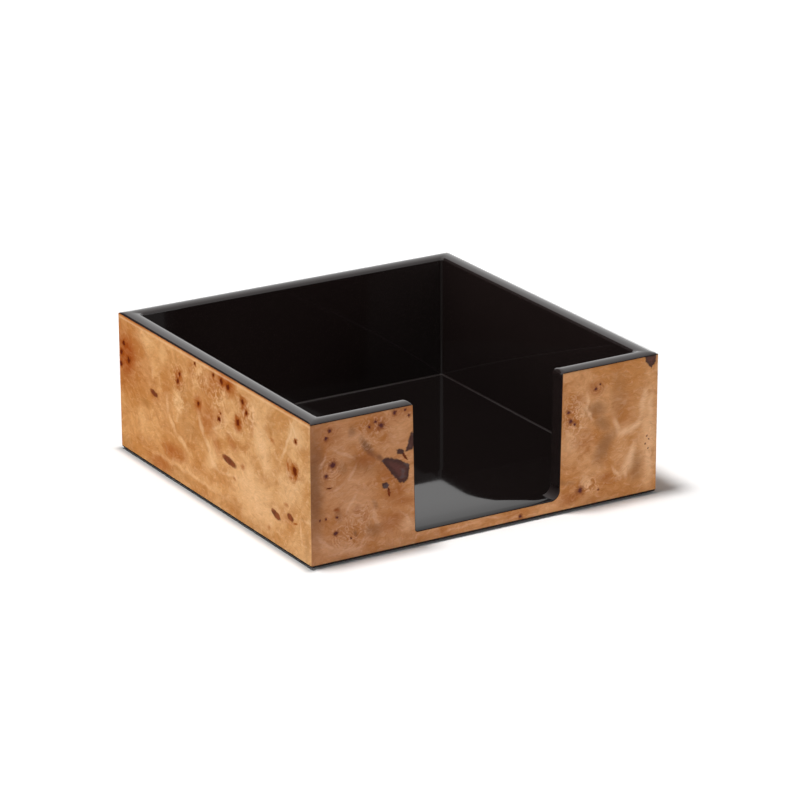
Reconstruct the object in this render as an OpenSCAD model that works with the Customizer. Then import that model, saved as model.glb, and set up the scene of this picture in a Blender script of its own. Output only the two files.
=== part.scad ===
// Square open-topped napkin box of lacquered boards, with burl veneer outside, a U opening in the
// front wall and a felt pad underneath. The front faces -Y, the table is z = 0, the box is centred.

/* [Box] */
// Width over the side veneers
box_w = 190; // [150:1:230]
// Depth over the front and back veneers
box_d = 190; // [150:1:230]
// Height of the veneer, bottom edge to top edge
veneer_h = 68.9; // [45:0.1:110]

/* [Boards] */
// Thickness of a wall board behind its veneer
board_t = 8; // [7:0.5:12]
// Thickness of the floor board
floor_t = 6; // [4:0.5:10]
// How far the floor board's edge runs under the walls
floor_seat = 4; // [2:0.5:5]
// Thickness left on the front and back boards where they lap the side boards
corner_lap = 4; // [3:0.5:5]

/* [Edges] */
// Lacquered edge that shows above the veneer and round the opening
rim_edge = 0.4; // [0.2:0.1:1.5]
// Lacquered edge that shows below the veneer
foot_edge = 0.7; // [0.5:0.1:1.5]
// Radius of the crowned top of a wall, seen in cross-section
crown_r = 26; // [15:1:80]
// Round on the outer edge of the rim
outer_round = 0.8; // [0.4:0.1:1.2]
// Round on the inner edge of the rim
inner_round = 1.5; // [0.5:0.1:2]
// Round on the bottom outer edge
foot_round = 0.5; // [0.2:0.1:0.5]
// Radius of the upright outer corners
corner_r = 0.8; // [0.4:0.1:1]
// Radius of the upright inner corners
cove_r = 1.5; // [0.5:0.1:4]

/* [Front opening] */
// Width of the opening at its sill
notch_w = 79; // [50:1:110]
// How much each side of the opening leans out over the whole height
notch_lean = 1.2; // [0:0.1:4]
// Radius of the opening's bottom left corner
notch_left_r = 1.2; // [0.5:0.1:8]
// Radius of the opening's bottom right corner
notch_right_r = 4.5; // [0.5:0.1:8]
// Radius where the opening's sides turn into the rim
notch_top_r = 2; // [0.5:0.1:3]

/* [Veneer] */
// Thickness of the burl veneer
veneer_t = 0.5; // [0.3:0.1:0.8]

/* [Felt] */
// Thickness of the felt pad
felt_t = 2; // [1:0.5:4]
// How far the felt stands below the walls
felt_proud = 1; // [0.5:0.1:2]
// Gap between the felt and the walls around it
felt_gap = 0.5; // [0.2:0.1:2]
// Corner radius of the felt pad
felt_r = 3; // [1:0.5:10]

/* [Brads] */
// Diameter of a brad
brad_d = 1.2; // [0.6:0.1:1.6]
// Length of a brad
brad_l = 16; // [12:1:20]
// Diameter of a brad's head
brad_head_d = 2; // [1.7:0.1:2.6]
// Thickness of a brad's head
brad_head_t = 0.6; // [0.4:0.1:1]
// Brads in each upright corner joint
corner_brad_count = 3; // [2:1:4]
// Brads along each wall's bottom edge
floor_brad_count = 4; // [2:2:6]
// Distance from a floor brad to the end of its wall
floor_brad_margin = 24; // [20:1:30]
// Distance from a corner brad to the floor or the rim
corner_brad_margin = 12; // [8:1:15]

/* [Hidden] */
$fn = 64;
over = 1; // how far a cut runs past a face
crown_flat = 0.01; // how much is planed off the crown's middle
lift = 0.002; // raises a round's centre so that it crosses the crown and doesn't graze it

lacquer = [0.03, 0.025, 0.025];
burl = [0.76, 0.53, 0.33];
felt_black = [0.08, 0.08, 0.08];
steel = [0.62, 0.62, 0.64];

wall_t = board_t + veneer_t; // a wall with its veneer
foot_z = felt_proud; // underside of the walls
floor_z = felt_t; // underside of the floor board
floor_top = floor_z + floor_t;
veneer_z = foot_z + foot_edge; // bottom edge of the veneer
veneer_top = veneer_z + veneer_h;
rim_z = veneer_top + rim_edge; // where the crown starts
crown_centre = rim_z - sqrt(pow(crown_r, 2) - pow(wall_t / 2, 2));
crown_z = crown_centre + crown_r - crown_flat; // highest line of the rim
seat_in = wall_t - floor_seat; // from a wall's face to the floor board's edge
lap_in = veneer_t + corner_lap; // from the front or back face to a side board's end

// [length, distance of the outer face from the middle, turn] of the front, right, back and left wall
walls = [[box_w, box_d / 2, 0], [box_d, box_w / 2, 90], [box_w, box_d / 2, 180],
         [box_d, box_w / 2, 270]];

// Stands a piece drawn along the front wall, with y = 0 on its face, at wall i
module at_wall(i) {
    rotate([0, 0, walls[i][2]]) translate([0, -walls[i][1], 0]) children();
}

// Runs a cross-section along X: its x goes in from the face and its y goes up
module along(length) {
    rotate([90, 0, 90]) linear_extrude(length, center = true) children();
}

module rounded_square(w, d, r) {
    square([w - 2 * r, d], center = true);
    square([w, d - 2 * r], center = true);
    for (x = [-1, 1], y = [-1, 1])
        translate([x * (w / 2 - r), y * (d / 2 - r)]) circle(r);
}

// What is left of a square of side r outside a circle that rounds its corner at the origin
module round_off(r) {
    difference() {
        translate([-over, -over]) square(r + over);
        translate([r, r]) circle(r);
    }
}

// A round of radius r between the crown and a face of the wall: the height of its centre, and how
// far from the wall's middle it runs into the crown
function round_z(r) = crown_centre + sqrt(pow(crown_r - r, 2) - pow(wall_t / 2 - r, 2)) + lift;
function round_end(r) = crown_r * (wall_t / 2 - r) / (crown_r - r);

// What that round takes off the section, with x measured from the wall's middle to the face
module rim_round(r) {
    difference() {
        translate([round_end(r), round_z(r)])
            square([wall_t / 2 - round_end(r) + over, crown_z - round_z(r) + over]);
        translate([wall_t / 2 - r, round_z(r)]) circle(r);
    }
}

// What the crown takes off a band of the section, between two distances from the wall's middle
module crown_off(from, to) {
    difference() {
        translate([from, rim_z - over]) square([to - from, crown_z - rim_z + 2 * over]);
        translate([0, crown_centre]) circle(crown_r, $fn = 180);
    }
}

// Cuts the crown's outer half and the rounds at top and bottom along the outside of all four walls
module outer_edge_cut() {
    for (i = [0:3]) at_wall(i) along(walls[i][0] + 2 * over) {
        translate([wall_t / 2, 0]) {
            crown_off(-wall_t / 2 - over, 0);
            mirror([1, 0]) rim_round(outer_round);
        }
        translate([0, foot_z]) round_off(foot_round);
    }
}

// Cross-section of the space between two walls whose outer faces are span apart, crown included
module open_section(span) {
    translate([wall_t - span / 2, 0]) square([span - 2 * wall_t, crown_z + over]);
    for (side = [0, 1]) mirror([side, 0])
        translate([(wall_t - span) / 2, 0]) crown_off(0, wall_t / 2 + over);
}

// Square ring of walls whose crowns meet in clean mitres at the corners
module crowned_ring() {
    difference() {
        translate([0, 0, foot_z]) linear_extrude(crown_z - foot_z)
            rounded_square(box_w, box_d, corner_r);
        outer_edge_cut();
        intersection() {
            along(box_w) open_section(box_d);
            rotate([0, 0, 90]) along(box_d) open_section(box_w);
        }
    }
}

// Distance from the middle to the inner face and to the centre of the inner corner round
inner_x = box_w / 2 - wall_t;
inner_y = box_d / 2 - wall_t;

// Puts a piece at the centre of the round of each upright inner corner, turned towards the corner
module at_inner_corners() {
    for (x = [-1, 1], y = [-1, 1])
        mirror([(1 - x) / 2, 0, 0]) mirror([0, (1 - y) / 2, 0])
            translate([inner_x - cove_r, inner_y - cove_r, 0]) children();
}

// Fills the upright inner corners, which the next cut then hollows to small coves
module corner_fill() {
    at_inner_corners() translate([0, 0, floor_top])
        cube([cove_r + over, cove_r + over, rim_z - floor_top]);
}

// Rounds the rim's inner edge along all four walls and round the coves
module inner_edge_cut() {
    for (i = [0:3]) at_wall(i) along(walls[i][0] - 2 * wall_t - 2 * cove_r)
        translate([wall_t / 2, 0]) rim_round(inner_round);
    at_inner_corners() rotate_extrude(angle = 90) intersection() {
        square([cove_r + wall_t, crown_z + over]);
        union() {
            square([cove_r, crown_z + over]);
            translate([cove_r + wall_t / 2, 0]) mirror([1, 0]) rim_round(inner_round);
        }
    }
}

// Slope of the opening's sides, and their distance from the middle at height z, widened by grow
notch_tilt = atan(notch_lean / (rim_z - floor_top));
function notch_half(z, grow) =
    notch_w / 2 + grow / cos(notch_tilt) + (z - floor_top) * tan(notch_tilt);

// Points along an arc, both ends included
function arc(centre, r, from, to, steps = 12) =
    [for (i = [0:steps]) centre + r * [cos(from + i * (to - from) / steps),
                                       sin(from + i * (to - from) / steps)]];

// One side of the opening's outline, from its sill up to the rim, as on the side towards +X
function notch_side(corner_radius, grow) =
    let (r = corner_radius + grow,
         top_r = notch_top_r - grow,
         low_z = floor_top + corner_radius,
         low = [notch_half(low_z, grow) - r / cos(notch_tilt), low_z],
         high_z = crown_z - notch_top_r,
         high = [notch_half(high_z, grow) + top_r / cos(notch_tilt), high_z])
    concat(arc(low, r, -90, -notch_tilt), arc(high, top_r, 180 - notch_tilt, 90),
           [[high.x, crown_z + over]]);

module notch_outline(grow) {
    right = notch_side(notch_right_r, grow);
    left = notch_side(notch_left_r, grow);
    polygon(concat(right, [for (i = [len(left) - 1:-1:0]) [-left[i].x, left[i].y]]));
}

module notch_cut(grow, depth) {
    translate([0, depth - box_d / 2, 0]) rotate([90, 0, 0])
        linear_extrude(depth + over) notch_outline(grow);
}

// What the four veneers take off the outside of the walls
module veneer_space() {
    translate([0, 0, veneer_z]) linear_extrude(veneer_h) difference() {
        square([box_w + 2 * over, box_d + 2 * over], center = true);
        square([box_w - 2 * veneer_t, box_d - 2 * veneer_t], center = true);
    }
}

// All four walls in one ring, veneers included, before they are parted into boards
module wall_ring() {
    difference() {
        union() {
            crowned_ring();
            corner_fill();
        }
        inner_edge_cut();
        translate([0, 0, floor_top / 2])
            cube([box_w - 2 * seat_in, box_d - 2 * seat_in, floor_top], center = true);
        brad_holes();
    }
}

// Space of the front board; turned by half a turn it is the back board's
module end_board_space() {
    translate([-box_w / 2, -box_d / 2, 0]) cube([box_w, lap_in, crown_z + over]);
    translate([wall_t - box_w / 2, -box_d / 2, 0])
        cube([box_w - 2 * wall_t, wall_t, crown_z + over]);
}

// Space of the right board and its coves; turned by half a turn it is the left board's
module side_board_space() {
    difference() {
        translate([inner_x - cove_r, -box_d / 2, 0])
            cube([wall_t + cove_r, box_d, crown_z + over]);
        end_board_space();
        rotate([0, 0, 180]) end_board_space();
    }
}

module floor_board() {
    color(lacquer) difference() {
        translate([0, 0, floor_z]) linear_extrude(floor_t)
            square([box_w - 2 * seat_in, box_d - 2 * seat_in], center = true);
        floor_brad_set();
    }
}

module front_board() {
    color(lacquer) difference() {
        intersection() {
            wall_ring();
            end_board_space();
        }
        // the veneer stops short of the opening and leaves a lacquered edge round it
        difference() {
            veneer_space();
            notch_cut(rim_edge, wall_t);
        }
        notch_cut(0, wall_t + over);
    }
}

// A board with nothing cut in it: the part of the ring inside the given space
module plain_board() {
    difference() {
        intersection() {
            wall_ring();
            children();
        }
        veneer_space();
    }
}

module back_board() {
    color(lacquer) plain_board() rotate([0, 0, 180]) end_board_space();
}

module right_board() {
    color(lacquer) plain_board() side_board_space();
}

module left_board() {
    color(lacquer) plain_board() rotate([0, 0, 180]) side_board_space();
}

// Front sheet, full width, cut for the opening
module front_veneer() {
    color(burl) difference() {
        end_sheet();
        notch_cut(rim_edge, veneer_t + over);
    }
}

module back_veneer() {
    color(burl) rotate([0, 0, 180]) end_sheet();
}

// Sheet on the front or back, which covers the side sheets' edges
module end_sheet() {
    translate([0, 0, veneer_z]) linear_extrude(veneer_h) intersection() {
        rounded_square(box_w, box_d, corner_r);
        translate([-box_w / 2, -box_d / 2]) square([box_w, veneer_t]);
    }
}

// Sheet on the right or left, between the end sheets
module side_sheet() {
    translate([0, 0, veneer_z]) linear_extrude(veneer_h) intersection() {
        rounded_square(box_w, box_d, corner_r);
        translate([box_w / 2 - veneer_t, veneer_t - box_d / 2])
            square([veneer_t, box_d - 2 * veneer_t]);
    }
}

module right_veneer() {
    color(burl) side_sheet();
}

module left_veneer() {
    color(burl) rotate([0, 0, 180]) side_sheet();
}

// A brad with its head at the origin, driven along +Z
module brad() {
    cylinder(d = brad_d, h = brad_l);
    cylinder(d = brad_head_d, h = brad_head_t);
}

// Place n of count between two ends, kept a margin away from both
function spread(n, count, low, high, margin) =
    low + margin + n * (high - low - 2 * margin) / (count - 1);

// Through the front and back boards' laps into the ends of the side boards
module corner_brad_set() {
    for (end = [0, 2], side = [-1, 1], n = [0:corner_brad_count - 1]) {
        x = side * (box_w / 2 - veneer_t - board_t / 2);
        z = spread(n, corner_brad_count, floor_top, rim_z, corner_brad_margin);
        at_wall(end) translate([x, veneer_t, z]) rotate([-90, 0, 0]) brad();
    }
}

// Up through the floor board's edge into the walls, and clear of the front opening
module floor_brad_set() {
    for (i = [0:3], n = [0:floor_brad_count - 1]) {
        half = walls[i][0] / 2;
        x = spread(n, floor_brad_count, -half, half, floor_brad_margin);
        if (i > 0 || abs(x) > notch_half(rim_z, brad_head_d))
            at_wall(i) translate([x, wall_t - floor_seat / 2, floor_z]) brad();
    }
}

module brad_holes() {
    corner_brad_set();
    floor_brad_set();
}

module corner_brads() {
    color(steel) corner_brad_set();
}

module floor_brads() {
    color(steel) floor_brad_set();
}

module felt_pad() {
    inset = seat_in + felt_gap;
    color(felt_black) linear_extrude(felt_t)
        rounded_square(box_w - 2 * inset, box_d - 2 * inset, felt_r);
}

floor_board();
front_board();
back_board();
left_board();
right_board();
front_veneer();
back_veneer();
left_veneer();
right_veneer();
corner_brads();
floor_brads();
felt_pad();
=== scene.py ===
import math
from functools import reduce

import bmesh
import bpy
from mathutils import Matrix, Vector


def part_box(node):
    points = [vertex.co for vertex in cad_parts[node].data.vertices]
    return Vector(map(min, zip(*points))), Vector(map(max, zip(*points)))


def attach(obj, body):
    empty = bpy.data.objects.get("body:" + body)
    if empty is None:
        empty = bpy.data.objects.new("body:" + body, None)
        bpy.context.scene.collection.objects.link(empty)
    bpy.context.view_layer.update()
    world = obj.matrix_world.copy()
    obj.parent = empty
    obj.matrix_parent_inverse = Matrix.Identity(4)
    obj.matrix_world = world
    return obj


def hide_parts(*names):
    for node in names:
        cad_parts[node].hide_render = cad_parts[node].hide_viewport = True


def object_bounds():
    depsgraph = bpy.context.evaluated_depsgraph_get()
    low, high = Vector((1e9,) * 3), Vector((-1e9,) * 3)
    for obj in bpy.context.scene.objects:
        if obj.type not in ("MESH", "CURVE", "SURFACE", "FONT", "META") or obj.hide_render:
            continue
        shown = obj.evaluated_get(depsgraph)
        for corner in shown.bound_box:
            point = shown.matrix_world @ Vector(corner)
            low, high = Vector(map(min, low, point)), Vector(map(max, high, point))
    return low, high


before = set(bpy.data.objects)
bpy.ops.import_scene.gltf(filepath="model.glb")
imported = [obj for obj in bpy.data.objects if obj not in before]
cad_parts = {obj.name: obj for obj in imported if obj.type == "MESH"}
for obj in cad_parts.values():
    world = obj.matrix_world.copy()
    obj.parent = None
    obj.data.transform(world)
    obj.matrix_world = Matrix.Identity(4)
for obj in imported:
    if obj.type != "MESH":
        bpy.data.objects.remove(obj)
cadLow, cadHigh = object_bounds()

mm = 0.001

# sizes that the pieces share, read from the frame
frontLow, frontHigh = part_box("front_board")
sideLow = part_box("left_board")[0]
floorLow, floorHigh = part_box("floor_board")
sheetLow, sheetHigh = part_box("back_veneer")
halfX, halfY, rimTop = cadHigh
footZ = frontLow.z
floorTop = floorHigh.z
wallT = frontHigh.y - frontLow.y
floorIn = halfX - floorHigh.x  # from a wall's face to the floor board's edge
lapIn = halfY + sideLow.y  # from the front face to a side board's end
veneerT = sheetHigh.y - sheetLow.y
veneerBottom, veneerTop = sheetLow.z, sheetHigh.z
print("frame loaded:", len(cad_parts), "nodes")


# materials: a wire is one socket, and sums on wires add the Math nodes for them
class Wire:
    def __init__(self, paint, socket):
        self.paint = paint
        self.socket = socket

    def maths(self, operation, first, second=0):
        return self.paint.add("Math", {"operation": operation}, {0: first, 1: second})

    def __add__(self, other):
        return self.maths("ADD", self, other)

    def __radd__(self, other):
        return self.maths("ADD", other, self)

    def __sub__(self, other):
        return self.maths("SUBTRACT", self, other)

    def __rsub__(self, other):
        return self.maths("SUBTRACT", other, self)

    def __mul__(self, other):
        return self.maths("MULTIPLY", self, other)

    def __rmul__(self, other):
        return self.maths("MULTIPLY", other, self)

    def __truediv__(self, other):
        return self.maths("DIVIDE", self, other)

    def __rtruediv__(self, other):
        return self.maths("DIVIDE", other, self)

    def __pow__(self, other):
        return self.maths("POWER", self, other)

    def __rpow__(self, other):
        return self.maths("POWER", other, self)

    def sine(self):
        return self.maths("SINE", self)

    def size(self):
        return self.maths("ABSOLUTE", self)

    def atLeast(self, other):
        return self.maths("MAXIMUM", self, other)

    def atMost(self, other):
        return self.maths("MINIMUM", self, other)

    # eases from one value to another while the wire goes from start to end
    def ease(self, start, end, fromValue=0, toValue=1):
        return self.paint.add("MapRange", {"interpolation_type": "SMOOTHSTEP", "clamp": False},
                              {0: self, 1: start, 2: end, 3: fromValue, 4: toValue})


# the nodes of a material, or of the world
class Paint:
    def __init__(self, owner):
        owner.use_nodes = True
        self.owner = owner
        self.tree = owner.node_tree
        self.tree.nodes.clear()

    # adds a node of any kind: its settings first, then the values and wires of its inputs
    def add(self, kind, settings=None, inputs=None, output=0):
        node = self.tree.nodes.new("ShaderNode" + kind)
        for key, value in (settings or {}).items():
            setattr(node, key, value)
        for key, value in (inputs or {}).items():
            if isinstance(value, Wire):
                self.tree.links.new(value.socket, node.inputs[key])
            else:
                node.inputs[key].default_value = value
        return Wire(self, node.outputs[output]) if node.outputs else None

    def place(self):
        return self.add("TexCoord", output="Object")

    def vector(self, operation, first, second=(0, 0, 0), output=0):
        return self.add("VectorMath", {"operation": operation}, {0: first, 1: second}, output)

    def noise(self, place, scale, detail=2, rough=0.5, twist=0, output="Fac"):
        return self.add("TexNoise", None, {"Vector": place, "Scale": scale, "Detail": detail,
                                           "Roughness": rough, "Distortion": twist}, output)

    # pushes a place about by up to half of reach each way, with a noise at the place named source
    def pushed(self, place, source, scale, reach):
        push = self.noise(source, scale, 1, output="Color")
        push = self.vector("SUBTRACT", push, (0.5, 0.5, 0.5))
        return self.vector("ADD", place, self.vector("MULTIPLY", push, reach))

    def mix(self, share, first, second, blend="MIX"):
        return self.add("Mix", {"data_type": "RGBA", "blend_type": blend},
                        {0: share, 6: first, 7: second}, 2)

    def bump(self, height, distance):
        return self.add("Bump", None, {"Height": height, "Distance": distance, "Strength": 1})

    def finish(self, inputs):
        shader = self.add("BsdfPrincipled", None, inputs)
        self.add("OutputMaterial", None, {"Surface": shader})
        return self.owner


def newPaint(name):
    return Paint(bpy.data.materials.new(name))


def srgb(red, green, blue):
    return [(c / 255 / 12.92 if c < 10.3 else ((c / 255 + 0.055) / 1.055) ** 2.4)
            for c in (red, green, blue)] + [1]


# meshes
def dress(obj, material, slot=None, *replaced):
    obj.data.materials.clear()
    obj.data.materials.append(material)
    if replaced:
        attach(obj, "root")
        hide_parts(*replaced)
    return obj


def newPiece(name, bm, sharpAngle=40, flatFaces=False):
    bmesh.ops.recalc_face_normals(bm, faces=bm.faces)
    mesh = bpy.data.meshes.new(name)
    bm.to_mesh(mesh)
    bm.free()
    obj = linkPiece(name, mesh, sharpAngle)
    if flatFaces:
        shading = obj.modifiers.new("flatFaces", "WEIGHTED_NORMAL")
        shading.mode = "FACE_AREA"
        shading.weight = 100
        shading.keep_sharp = True
    return obj


def linkPiece(name, mesh, sharpAngle=40):
    mesh.shade_smooth()
    mesh.set_sharp_from_angle(angle=math.radians(sharpAngle))
    obj = bpy.data.objects.new(name, mesh)
    bpy.context.scene.collection.objects.link(obj)
    return obj


def block(low, high):
    bm = bmesh.new()
    bmesh.ops.create_cube(bm, size=1)
    bmesh.ops.scale(bm, verts=bm.verts, vec=high - low)
    bmesh.ops.translate(bm, verts=bm.verts, vec=(high + low) / 2)
    return bm


# points along an arc in a plane, ends included
def arc(centre, radius, start, end, steps):
    turns = [math.radians(start + (end - start) * i / steps) for i in range(steps + 1)]
    return [(centre[0] + radius * math.cos(t), centre[1] + radius * math.sin(t)) for t in turns]


# a grid whose points go to the given rows, and whose doubled ends then close up
def wrapGrid(rows):
    bm = bmesh.new()
    bmesh.ops.create_grid(bm, x_segments=len(rows[0]) - 1, y_segments=len(rows) - 1, size=1)
    bm.verts.ensure_lookup_table()
    for vert, place in zip(bm.verts, (place for row in rows for place in row)):
        vert.co = place
    bmesh.ops.remove_doubles(bm, verts=bm.verts, dist=1e-7)
    return bm


# the cross-section of a lacquered wall, as [distance in from its face, height, corner radius, part]
rim = {
    "crownR": 17 * mm,
    "outerR": 0.8 * mm,
    "innerR": 1.5 * mm,
    "footR": 0.5 * mm,
    "cornerR": 0.8 * mm,  # upright outer corners
    "outerPlanR": 2.4 * mm,  # the rim's corners, seen from above
    "innerPlanR": 3 * mm,
    "coveR": 1.8 * mm,  # upright inner corners
    "filletR": 0.6 * mm,  # lacquer gathered between wall and floor
    "easing": 0.4 * mm,  # keeps a flat face's shading flat up to its round edges
}


def wallSection():
    half = wallT / 2
    centreZ = rimTop - rim["crownR"]

    def roundCentre(radius):
        reach = rim["crownR"] - radius
        lean = math.asin((half - radius) / reach)
        return centreZ + reach * math.cos(lean), math.degrees(lean)

    outerZ, outerLean = roundCentre(rim["outerR"])
    innerZ, innerLean = roundCentre(rim["innerR"])
    lipTurn = 180 - math.degrees(math.asin((veneerTop - outerZ) / rim["outerR"]))
    footR, filletR, easing = rim["footR"], rim["filletR"], rim["easing"]

    points = [(x, z, rim["cornerR"], "outside")
              for x, z in arc((footR, footZ + footR), footR, 270, 180, 4)]
    points += [(0, veneerBottom, rim["cornerR"], "outside"),
               (veneerT, veneerBottom, rim["cornerR"], "outside"),
               (veneerT, veneerTop, rim["cornerR"], "edge")]
    outer = arc((rim["outerR"], outerZ), rim["outerR"], lipTurn, 90 + outerLean, 7)
    for i, (x, z) in enumerate(outer):
        radius = rim["cornerR"] + (rim["outerPlanR"] - rim["cornerR"]) * i / (len(outer) - 1)
        points.append((x, z, radius, "edge"))
    crown = arc((half, centreZ), rim["crownR"], 90 + outerLean, 90 - innerLean, 16)[1:-1]
    for i, (x, z) in enumerate(crown):
        radius = rim["outerPlanR"] + (rim["innerPlanR"] - rim["outerPlanR"]) * i / (len(crown) - 1)
        points.append((x, z, radius, "edge"))
    inner = arc((wallT - rim["innerR"], innerZ), rim["innerR"], 90 - innerLean, 0, 9)
    for i, (x, z) in enumerate(inner):
        radius = rim["innerPlanR"] + (rim["coveR"] - rim["innerPlanR"]) * i / (len(inner) - 1)
        points.append((x, z, radius, "edge"))
    points += [(wallT, innerZ - easing, rim["coveR"], "edge"),
               (wallT, floorTop + filletR + easing, rim["coveR"], "inside")]
    points += [(x, z, rim["coveR"], "inside") for x, z in
               arc((wallT + filletR, floorTop + filletR), filletR, 180, 270, 5)]
    points += [(floorIn, floorTop, rim["cornerR"], "inside"),
               (floorIn, footZ, rim["cornerR"], "inside")]
    return points + points[:1]


# the opening in the front wall, as its outline's stations: place, direction into the wood, how far
# the rim's own section holds there, and how far the sill's does
notch = {
    "width": 79 * mm,
    "lean": 1.2 * mm,  # of each side over its height
    "leftR": 1.2 * mm,
    "rightR": 4.5 * mm,
    "topR": 2 * mm,
    "lip": 0.3 * mm,  # lacquered edge in front of the veneer
    "film": 0.02 * mm,  # lacquer over the joint of sill and floor
    "reach": 52 * mm,  # from the middle to where the plain wall starts
    "steps": 10,
}
sillZ = floorTop + notch["film"]
notchTilt = math.atan(notch["lean"] / (veneerTop + notch["lip"] - floorTop))


def notchHalf(z):
    return notch["width"] / 2 + (z - floorTop) * math.tan(notchTilt)


def smooth(share):
    return share * share * (3 - 2 * share)


def notchSide(lowR):
    tilt = math.degrees(notchTilt)
    steps, topR, easing = notch["steps"], notch["topR"], rim["easing"]
    lowZ, highZ = sillZ + lowR, rimTop - topR
    low = (notchHalf(lowZ) - lowR / math.cos(notchTilt), lowZ)
    high = (notchHalf(highZ) + topR / math.cos(notchTilt), highZ)
    stations = [(low[0] - easing, sillZ, 0, -1, 0, 1)]
    for i, (x, z) in enumerate(arc(low, lowR, -90, -tilt, steps)):
        way = ((x - low[0]) / lowR, (z - low[1]) / lowR)
        stations.append((x, z, *way, 0, smooth(1 - i / steps)))
    side = (math.cos(notchTilt), -math.sin(notchTilt))
    for z in (lowZ + easing, highZ - easing):
        stations.append((notchHalf(z), z, *side, 0, 0))
    for i, (x, z) in enumerate(arc(high, topR, 180 - tilt, 90, steps)):
        way = ((high[0] - x) / topR, (high[1] - z) / topR)
        stations.append((x, z, *way, smooth(i / steps), 0))
    stations.append((high[0] + easing, rimTop, 0, -1, 1, 0))
    return stations


def frontStations(end):
    right = notchSide(notch["rightR"])
    left = [(-x, z, -wayX, wayZ, high, low)
            for x, z, wayX, wayZ, high, low in reversed(notchSide(notch["leftR"]))]
    return [(-end, rimTop, 0, -1, 1, 0), *left, *right, (end, rimTop, 0, -1, 1, 0)]


# where the points of a section lie at one station of the front wall
def acrossFront(station, section):
    x, z, wayX, wayZ, rimShare, sillShare = station
    lipShare = notch["lip"] / (rimTop - veneerTop)
    spread = lipShare + (1 - lipShare) * rimShare
    edgeX = {}
    lowest = 0
    places = {}
    for i, (inset, height, _, part) in enumerate(section):
        if part != "edge":
            continue
        drop = (rimTop - height) * spread
        if inset > wallT / 2:
            drop *= 1 - sillShare
        place = Vector((x + wayX * drop, inset - halfY, z + wayZ * drop))
        if inset > wallT / 2:
            place.z = max(place.z, floorTop + notch["film"] / 2)
            lowest = place.z
        places[i] = place
        edgeX.setdefault("outside", place.x)
        edgeX["inside"] = place.x
    room = rim["filletR"] + 2 * rim["easing"]
    share = min(1, max(0, lowest - floorTop) / room)
    for i, (inset, height, _, part) in enumerate(section):
        if part == "outside":
            places[i] = Vector((edgeX[part], inset - halfY, height))
        elif part == "inside":
            if height >= floorTop:
                height = floorTop + (height - floorTop) * share
            if inset > wallT:
                inset = wallT + (inset - wallT) * share
            places[i] = Vector((edgeX[part], inset - halfY, height))
    return [places[i] for i in range(len(section))]


def aroundCorner(signX, signY, turn, section):
    way = Vector((math.cos(math.radians(turn)), math.sin(math.radians(turn)), 0))
    return [Vector((signX * (halfX - inset - radius), signY * (halfY - inset - radius), height))
            + way * radius for inset, height, radius, _ in section]


# all four walls in one closed ring, before it is parted into boards
def makeRing():
    section = wallSection()
    rows = [acrossFront(s, section) for s in frontStations(notch["reach"])]
    cornerSteps = 8
    for signX, signY, start in ((1, -1, -90), (1, 1, 0), (-1, 1, 90), (-1, -1, 180)):
        for i in range(cornerSteps + 1):
            rows.append(aroundCorner(signX, signY, start + 90 * i / cornerSteps, section))
    return newPiece("wallRing", wrapGrid(rows + rows[:1]))


# where the ring is parted into boards
joints = {
    "over": 1 * mm,  # how far a cutter stands out past the ring
    "cove": 5 * mm,  # how far a mitre runs on past the walls' inner faces
}


# plans of the front and right boards; half a turn gives the back and left ones
def boardPlan(kind):
    outX, outY = halfX + joints["over"], halfY + joints["over"]
    lapY = halfY - lapIn
    innerX, innerY = halfX - wallT, halfY - wallT
    cove = joints["cove"]
    if kind == "end":
        right = [(outX, -outY), (outX, -lapY), (innerX, -lapY), (innerX, -innerY),
                 (innerX - cove, cove - innerY)]
        return right + [(-x, y) for x, y in reversed(right)]
    low = [(outX, -lapY), (innerX, -lapY), (innerX, -innerY), (innerX - cove, cove - innerY)]
    return [(x, y) for x, y in reversed(low)] + [(x, -y) for x, y in low]


def partBoard(name, ring, kind, turn):
    bm = bmesh.new()
    plan = boardPlan(kind)
    outline = [bm.verts.new((x, y, 0)) for x, y in plan]
    face = bm.faces.new(outline)
    grown = bmesh.ops.extrude_face_region(bm, geom=[face])
    top = [v for v in grown["geom"] if isinstance(v, bmesh.types.BMVert)]
    bmesh.ops.translate(bm, verts=top, vec=(0, 0, rimTop + joints["over"]))
    bmesh.ops.rotate(bm, verts=bm.verts, matrix=Matrix.Rotation(math.radians(turn), 3, "Z"))
    cutter = newPiece("boardCutter", bm)
    trial = bpy.data.objects.new("trial", ring.data)
    bpy.context.scene.collection.objects.link(trial)
    parting = trial.modifiers.new("parting", "BOOLEAN")
    parting.operation = "INTERSECT"
    parting.solver = "EXACT"
    parting.object = cutter
    bpy.context.view_layer.update()
    shape = trial.evaluated_get(bpy.context.evaluated_depsgraph_get())
    mesh = bpy.data.meshes.new_from_object(shape)
    mesh.name = name
    for spare in (trial, cutter):
        bpy.data.objects.remove(spare)
    return linkPiece(name, mesh)


floorBoard = {"easing": 0.3 * mm}


def makeFloor():
    bm = block(floorLow, floorHigh)
    bmesh.ops.bevel(bm, geom=bm.edges, offset=floorBoard["easing"], segments=2, profile=0.5,
                    affect="EDGES", material=-1)
    return newPiece("floorBoard", bm, flatFaces=True)


veneer = {
    "easing": 0.15 * mm,  # of the sheet's edges where they meet the lacquer
    "cornerR": 0.42 * mm,  # of the front and back sheets' upright ends
}


def makeSideSheet(name, node):
    low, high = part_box(node)
    bm = block(low, high)
    away = 1 if low.x > 0 else -1
    faceX = high.x if away > 0 else low.x
    edges = [e for e in bm.edges if all(abs(v.co.x - faceX) < 1e-6 for v in e.verts)]
    bmesh.ops.bevel(bm, geom=edges, offset=veneer["easing"], segments=3, profile=0.5,
                    affect="EDGES", material=-1)
    return newPiece(name, bm, flatFaces=True)


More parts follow.
